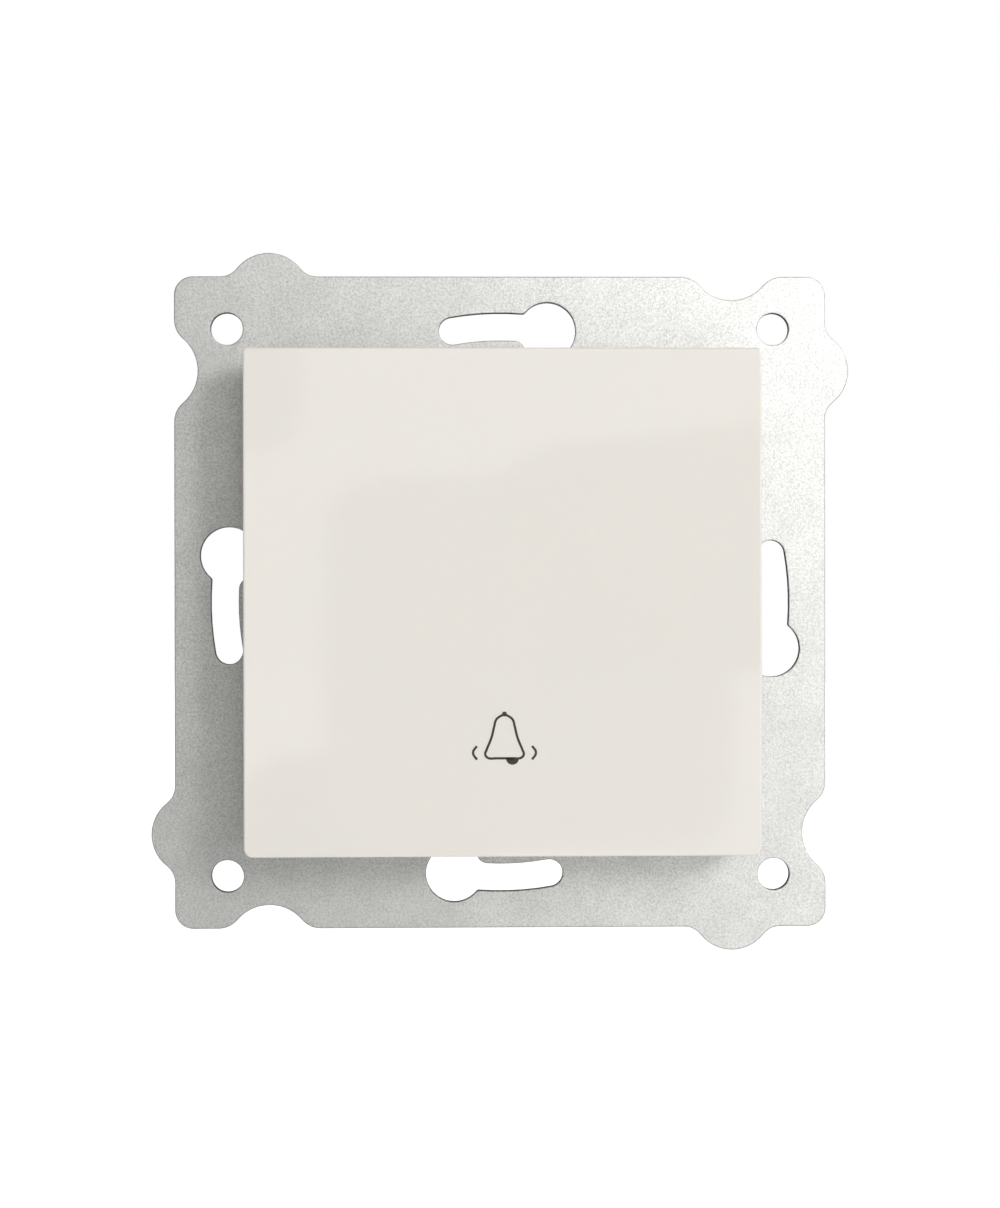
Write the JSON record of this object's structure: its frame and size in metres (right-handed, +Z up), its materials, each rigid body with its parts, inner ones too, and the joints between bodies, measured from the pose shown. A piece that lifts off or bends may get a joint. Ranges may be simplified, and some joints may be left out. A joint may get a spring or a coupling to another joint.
{
  "type": "doorbell push button",
  "caption": "Flush-mounted doorbell push: a square sprung rocker key on a lobed steel support plate, with a contact housing behind it and spreading claws.",
  "frame": {"origin": "centre of the support plate's wall side", "axes": "the key faces -Y, the wall box lies towards +Y, up is +Z, +X is to the right as seen from the front"},
  "size_m": [0.076, 0.0315, 0.076],
  "materials": {
    "galvanised_plate": "zinc-coated sheet, fine grain, satin",
    "key_plastic": "glossy cream moulding",
    "frame_plastic": "white moulding, fine matt",
    "housing_plastic": "light grey moulding, fine matt",
    "brass": "stamped brass, satin",
    "bronze_leaf": "sprung phosphor bronze, satin",
    "silver_contact": "silver contact, polished",
    "spring_steel": "drawn spring wire, bright",
    "zinc_screw": "zinc-coated steel, satin",
    "claw_steel": "zinc-coated stamped steel, satin"
  },
  "bodies": {
    "mechanism": {"support_plate": "galvanised_plate", "front_frame": "frame_plastic", "housing": "housing_plastic", "housing_screws": "zinc_screw", "return_spring": "spring_steel", "leaf_root_rivet": "brass", "common_strip": "brass", "contact_strip": "brass", "fixed_contact_rivet": "silver_contact", "terminal_block_left": "brass", "terminal_block_right": "brass", "terminal_screw_left": "zinc_screw", "terminal_screw_right": "zinc_screw"},
    "rocker": {"rocker_key": "key_plastic", "rocker_carrier": "frame_plastic"},
    "leaf": {"contact_leaf": "bronze_leaf", "leaf_contact_rivet": "silver_contact"},
    "claw_l": {"claw_left": "claw_steel"},
    "claw_r": {"claw_right": "claw_steel"},
    "claw_screw_l": {"claw_screw_left": "zinc_screw"},
    "claw_screw_r": {"claw_screw_right": "zinc_screw"}
  },
  "joints": [
    {"name": "key_press", "type": "hinge", "parent": "mechanism", "child": "rocker", "pos_m": [0, -0.0054, 0], "axis": [1, 0, 0], "range_deg": [0, 4.5], "stiffness_Nm_per_rad": 0.5, "springref_deg": -3.44, "deforming": ["return_spring"]},
    {"name": "leaf_flex", "type": "hinge", "parent": "mechanism", "child": "leaf", "pos_m": [0, 0.01132, 0.01], "axis": [1, 0, 0], "range_deg": [0, 2.2]},
    {"name": "claw_swing_left", "type": "hinge", "parent": "mechanism", "child": "claw_l", "pos_m": [-0.0218, 0.0024, 0], "axis": [0, 0, 1], "range_deg": [0, 18]},
    {"name": "claw_screw_lean_left", "type": "hinge", "parent": "mechanism", "child": "claw_screw_l", "pos_m": [-0.0246, -0.00284, 0], "axis": [0, 0, 1], "range_deg": [0, 14]},
    {"name": "claw_swing_right", "type": "hinge", "parent": "mechanism", "child": "claw_r", "pos_m": [0.0218, 0.0024, 0], "axis": [0, 0, -1], "range_deg": [0, 18]},
    {"name": "claw_screw_lean_right", "type": "hinge", "parent": "mechanism", "child": "claw_screw_r", "pos_m": [0.0246, -0.00284, 0], "axis": [0, 0, -1], "range_deg": [0, 14]}
  ],
  "couplings": [
    {"joint": "leaf_flex", "follows": "key_press", "ratio": 0.482},
    {"joint": "claw_screw_lean_left", "follows": "claw_swing_left", "ratio": 0.747},
    {"joint": "claw_screw_lean_right", "follows": "claw_swing_right", "ratio": 0.747}
  ]
}
